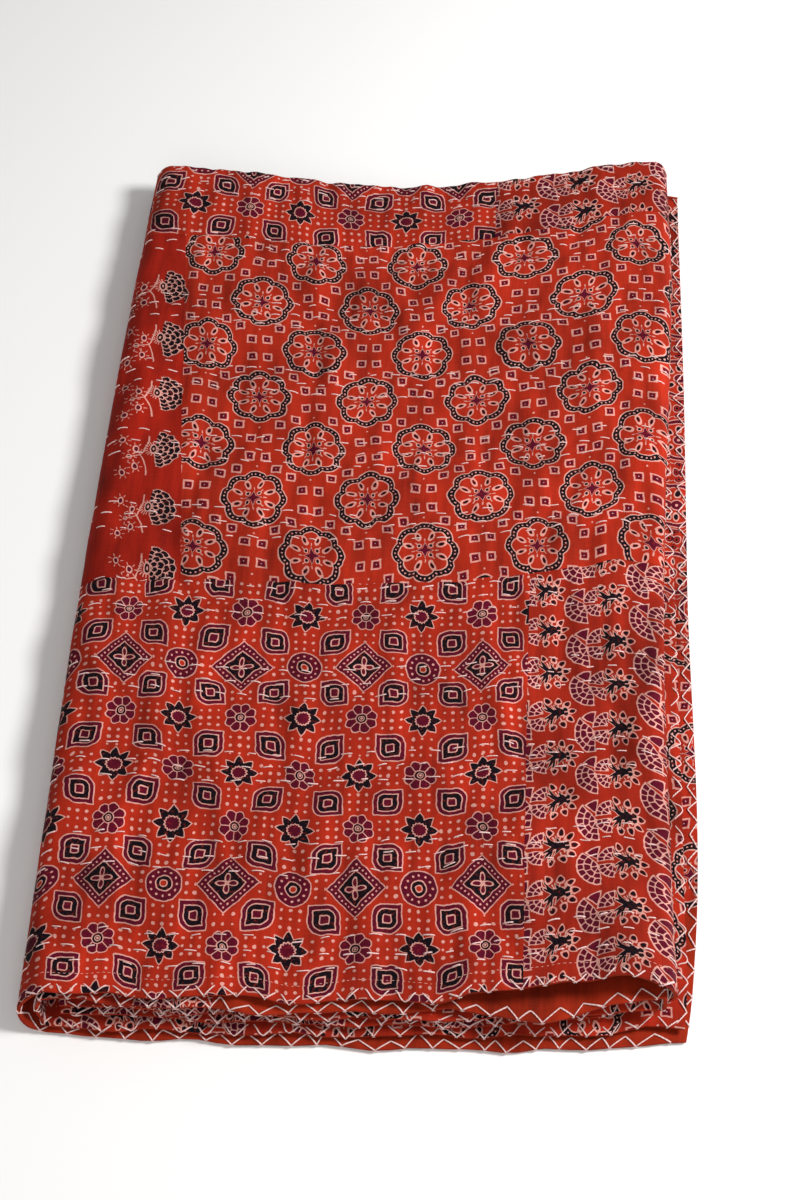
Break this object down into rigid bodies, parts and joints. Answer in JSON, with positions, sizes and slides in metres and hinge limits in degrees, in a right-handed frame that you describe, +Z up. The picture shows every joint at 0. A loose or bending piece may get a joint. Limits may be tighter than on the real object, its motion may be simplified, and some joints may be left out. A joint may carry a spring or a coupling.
{
  "type": "folded kantha quilt",
  "caption": "Printed, running-stitched cotton quilt folded in half and then in thirds into a flat oblong stack, with its overcast hems together at the front.",
  "frame": {"origin": "middle of the stack's footprint, on the surface it lies on", "axes": "+Z up, +Y from the hems at the front to the rounded fold at the back, +X to the right when the hems face the viewer"},
  "size_m": [0.484, 0.8156, 0.056],
  "materials": {
    "printed_cotton": "matt block-printed cotton, washed soft and slightly puckered by rows of running stitch"
  },
  "bodies": {
    "root": {"quilt_cloth": "printed_cotton"}
  },
  "joints": []
}
